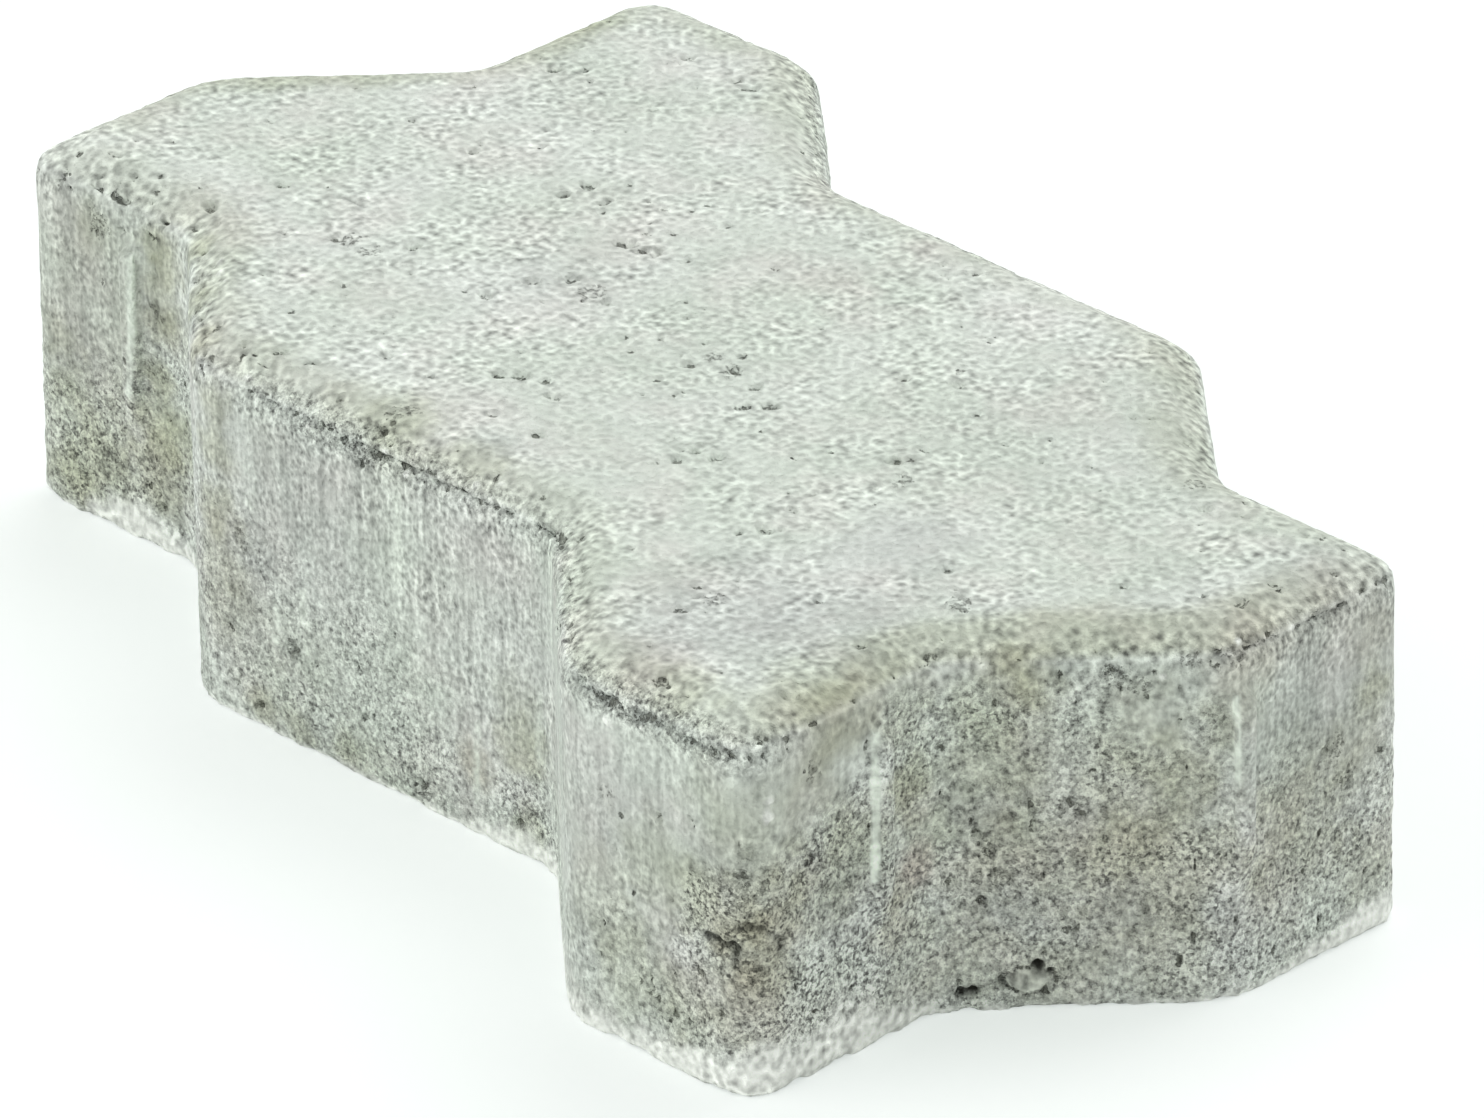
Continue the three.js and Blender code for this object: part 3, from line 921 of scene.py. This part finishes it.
# Pale scrapes, and painted highlights down the nibs
RUBBED_AND_HIGHLIGHT = linear(242, 253, 239)
STAINS_AND_SHADE = {
    "soil": linear(203, 202, 178),
    # Dull grey patches, and painted shade in the grooves
    "dull_and_groove_shade": linear(172, 174, 176),
    "rust": linear(204, 194, 176),
    "pink": linear(250, 241, 243),
}
ROUGHNESS = 0.93

# The grit's light and dark is partly the sand's own tones, and partly painted shade in its pores and
# painted light on its grains
# How strongly the grit shows: lighter or darker by this share per unit of its noise, in limits
SKIN_GRIT = 1.4
OPEN_GRIT = 6.8
GRIT_RANGE = (0.2, 1.7)

# The share of the grit that is left where other marks are
GRIT_LEFT = {"rubbed_and_highlight": 0.6, "lime_and_highlight": 0.9, "calm": 0.35}

# How dark the painted shade and dirt of the carved pits is, as a share of the colour of a hollow
PORE_DARKNESS = 0.65

# Depths of the bump in mm
SKIN_BUMP = 0.2
GRIT_BUMP = 0.7
PORE_BUMP = 0.5


def cement(graph, place, masks):
    """The cement's own colour: clouds of paler, greener and warmer grey, and drag streaks."""
    broad = graph.span(graph.noise(place, 38.0), 0.37, 0.63)
    warm = graph.span(graph.noise(place, 15.0), 0.47, 0.71, 0.0, 0.45)
    colour = graph.mix(warm, graph.mix(broad, GREENISH, PALE), WARM)
    clumps = graph.span(graph.noise(place, 4.5), 0.3, 0.7, 0.94, 1.05)
    colour = graph.mix(1.0, colour, graph.grey(clumps), "MULTIPLY")
    thin = graph.noise(place, 1.0, detail=1.5, stretch=(1.0, 1.0, 14.0))
    streaks = graph.span(masks["streak"], 0.25, 0.75, 0.86, 1.11)
    streaks = graph.math("MULTIPLY", streaks, graph.span(thin, 0.3, 0.7, 0.80, 1.13))
    colour = graph.mix(masks["drawn"], colour, graph.mix(1.0, colour, graph.grey(streaks), "MULTIPLY"))
    return graph.mix(masks["wall"], colour, graph.mix(1.0, colour, WALL_TINT, "MULTIPLY"))


def sand(graph, place, size):
    """A number from 0 to 1 for each grain of sand, about size mm across, with bent outlines."""
    scale = 1.0 / (size * MM)
    scaled = graph.add("ShaderNodeMapping", {"Vector": place, "Scale": (scale, scale, scale)}).outputs[0]
    bend = graph.add("ShaderNodeTexNoise", {"Vector": scaled, "Scale": 1.3, "Detail": 1.0}).outputs[1]
    bend = graph.add("ShaderNodeVectorMath", {0: bend, 3: 0.9}, operation="SCALE").outputs[0]
    bent = graph.add("ShaderNodeVectorMath", {0: scaled, 1: bend}, operation="ADD").outputs[0]
    cells = graph.add("ShaderNodeTexVoronoi", {"Vector": bent, "Scale": 1.0}).outputs["Color"]
    return graph.add("ShaderNodeSeparateColor", {0: cells}).outputs[0]


def grit_levels(graph, place, masks):
    """Sand and pores from -0.5 to 0.5, for their colour and for their relief.

    They are fine, drawn out by the mould, or coarse and open.
    """
    fine = graph.noise(place, 1.3, detail=0.6)
    drawn = graph.noise(place, 0.85, detail=0.9, stretch=(1.0, 1.0, 1.25))
    skin = graph.blend(masks["drawn"], fine, drawn)
    crumbs = graph.noise(place, 0.58, detail=2.0, roughness=0.7)
    grains = graph.span(sand(graph, place, 0.65), 0.0, 1.0, 0.25, 0.75)
    shade = graph.blend(masks["coarse"], skin, graph.blend(0.4, crumbs, grains))
    relief = graph.blend(masks["coarse"], skin, crumbs)
    return graph.math("SUBTRACT", shade, 0.5), graph.math("SUBTRACT", relief, 0.5)


def grit_shade(graph, place, level, masks):
    """Light and dark of the grit, partly its own tones and partly painted shade and light, which is
    stronger in some patches than in others.
    """
    patchy = graph.span(graph.noise(place, 8.0), 0.35, 0.65, 0.5, 1.45)
    strength = graph.blend(masks["coarse"], graph.math("MULTIPLY", patchy, SKIN_GRIT), OPEN_GRIT)
    for name, share in GRIT_LEFT.items():
        strength = graph.math("MULTIPLY", strength, graph.span(masks[name], 0.0, 1.0, 1.0, share))
    shade = graph.math("ADD", graph.math("MULTIPLY", level, strength), 1.0)
    darkest, lightest = GRIT_RANGE
    return graph.grey(graph.math("MAXIMUM", graph.math("MINIMUM", shade, lightest), darkest))


def carved_pores(graph, place, masks):
    """The carved pits, with painted shade and dirt; where they are faint, they break up into specks."""
    specks = graph.span(graph.noise(place, 0.7, detail=2.0), 0.25, 0.75, 0.0, 2.0)
    depth = graph.math("MULTIPLY", masks["pit_shade_and_dirt"], specks)
    bare = graph.math("SUBTRACT", 1.0, masks["lime_and_highlight"])
    return graph.math("MULTIPLY", graph.span(depth, 0.4, 0.8), bare)


def concrete_colour(graph, place, masks, grit, pores):
    colour = cement(graph, place, masks)
    # Stains, and painted shade in the grooves
    for name, tint in STAINS_AND_SHADE.items():
        colour = graph.mix(masks[name], colour, tint, "MULTIPLY")
    patchy = graph.span(graph.noise(place, 2.0), 0.3, 0.6, 0.8, 1.0)
    # Lime rim and pale crumbs, and a painted highlight down the front corner
    colour = graph.mix(graph.math("MULTIPLY", masks["lime_and_highlight"], patchy), colour, LIME_AND_HIGHLIGHT)
    # Pale scrapes and painted highlights
    colour = graph.mix(masks["rubbed_and_highlight"], colour, RUBBED_AND_HIGHLIGHT)
    # Grit: its own tones, with painted shade in pores and painted light on grains
    colour = graph.mix(1.0, colour, grit_shade(graph, place, grit, masks), "MULTIPLY")
    # Painted shade and dirt in the pits
    colour = graph.mix(graph.math("MULTIPLY", pores, PORE_DARKNESS), colour, HOLLOW_SHADE_AND_DIRT)
    # Painted near-black shade in the holes, and the darkest rust
    return graph.mix(masks["hole_shade_and_rust"], colour, HOLE_SHADE_AND_RUST)


def concrete_normal(graph, place, grit, pores):
    """The finest relief: sandy skin, grit and the carved pits."""
    skin = graph.noise(place, 0.4, detail=1.0)
    sunk = graph.math("MULTIPLY", pores, -1.0)
    normal = graph.bump(skin, SKIN_BUMP)
    normal = graph.bump(grit, GRIT_BUMP, normal)
    return graph.bump(sunk, PORE_BUMP, normal)


def make_concrete():
    material = bpy.data.materials.new("concrete")
    material.use_nodes = True
    graph = Graph(material.node_tree)
    place = graph.add("ShaderNodeTexCoord").outputs["Object"]
    masks = {name: graph.mask(name) for name in MASKS}
    grit, grit_relief = grit_levels(graph, place, masks)
    pores = carved_pores(graph, place, masks)
    colour = concrete_colour(graph, place, masks, grit, pores)
    normal = concrete_normal(graph, place, grit_relief, pores)
    inputs = {"Base Color": colour, "Roughness": ROUGHNESS, "Normal": normal}
    shader = graph.add("ShaderNodeBsdfPrincipled", inputs)
    graph.add("ShaderNodeOutputMaterial", {"Surface": shader.outputs[0]})
    return material


# ---- Floor and light ----

# A pale floor that catches the shadow. A share of glow whitens what the camera sees of it.
FLOOR_HALF = 6.0
FLOOR_COLOUR = (0.92, 0.92, 0.92, 1.0)
GLOW_COLOUR = (0.928, 1.0, 0.964, 1.0)
GLOW_STRENGTH = 1.245
GLOW_SHARE = 0.45
WHITE = (1.0, 1.0, 1.0, 1.0)
WORLD_STRENGTH = 0.62

# Soft lamps: strength, then azimuth, elevation and spread in degrees
LAMPS = {"key": (0.80, -30.0, 35.0, 50.0), "back": (1.22, 190.0, 53.0, 48.0)}


def seen_directly(graph):
    """1 for rays of the camera and for what gloss and glass show, 0 for the light itself."""
    path = graph.add("ShaderNodeLightPath").outputs
    direct = graph.math("MAXIMUM", path["Is Camera Ray"], path["Is Glossy Ray"])
    return graph.math("MAXIMUM", direct, path["Is Transmission Ray"])


def make_floor():
    mesh = bpy.data.meshes.new("floor")
    corners = [(x * FLOOR_HALF, y * FLOOR_HALF, 0) for x, y in ((-1, -1), (1, -1), (1, 1), (-1, 1))]
    mesh.from_pydata(corners, [], [(0, 1, 2, 3)])
    floor = bpy.data.objects.new("floor", mesh)
    bpy.context.scene.collection.objects.link(floor)
    material = bpy.data.materials.new("floor")
    material.use_nodes = True
    graph = Graph(material.node_tree)
    diffuse = graph.add("ShaderNodeBsdfDiffuse", {"Color": FLOOR_COLOUR})
    glow = graph.add("ShaderNodeEmission", {"Color": GLOW_COLOUR, "Strength": GLOW_STRENGTH})
    share = graph.math("MULTIPLY", seen_directly(graph), GLOW_SHARE)
    mix = graph.add("ShaderNodeMixShader", {0: share, 1: diffuse.outputs[0], 2: glow.outputs[0]})
    graph.add("ShaderNodeOutputMaterial", {"Surface": mix.outputs[0]})
    mesh.materials.append(material)


def make_world():
    world = bpy.data.worlds.new("world")
    bpy.context.scene.world = world
    world.use_nodes = True
    graph = Graph(world.node_tree)
    light = graph.add("ShaderNodeBackground", {"Color": WHITE, "Strength": WORLD_STRENGTH})
    white = graph.add("ShaderNodeBackground", {"Color": WHITE})
    inputs = {0: seen_directly(graph), 1: light.outputs[0], 2: white.outputs[0]}
    mix = graph.add("ShaderNodeMixShader", inputs)
    graph.add("ShaderNodeOutputWorld", {"Surface": mix.outputs[0]})


def make_sun(name, strength, azimuth, elevation, spread):
    """A soft lamp without fall-off; azimuth 0 shines along +Y, from the front."""
    turn, rise = math.radians(azimuth), math.radians(elevation)
    towards = Vector((math.sin(turn) * math.cos(rise), -math.cos(turn) * math.cos(rise), math.sin(rise)))
    data = bpy.data.lights.new(name, "SUN")
    data.energy = strength
    data.angle = math.radians(spread)
    lamp = bpy.data.objects.new(name, data)
    bpy.context.scene.collection.objects.link(lamp)
    lamp.rotation_euler = towards.to_track_quat("Z", "Y").to_euler()


# ---- The scene ----

def make_stone(camera):
    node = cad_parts[NODE]
    stone = remeshed_copy(node)
    surface = Surface(stone, foot_outline(node))
    sight = Sight(camera, node)
    carve_relief(surface, sight)
    stain(surface, sight)
    surface.store(stone)
    thin_out(stone)
    stone.data.materials.clear()
    stone.data.materials.append(make_concrete())
    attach(stone, "root")
    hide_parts(NODE)
    return stone


camera = make_camera((CAD_BOX[0] + CAD_BOX[1]) / 2)
stone = make_stone(camera)
make_floor()
make_world()
for name, settings in LAMPS.items():
    make_sun(name, *settings)
bpy.context.scene.view_settings.view_transform = "Standard"
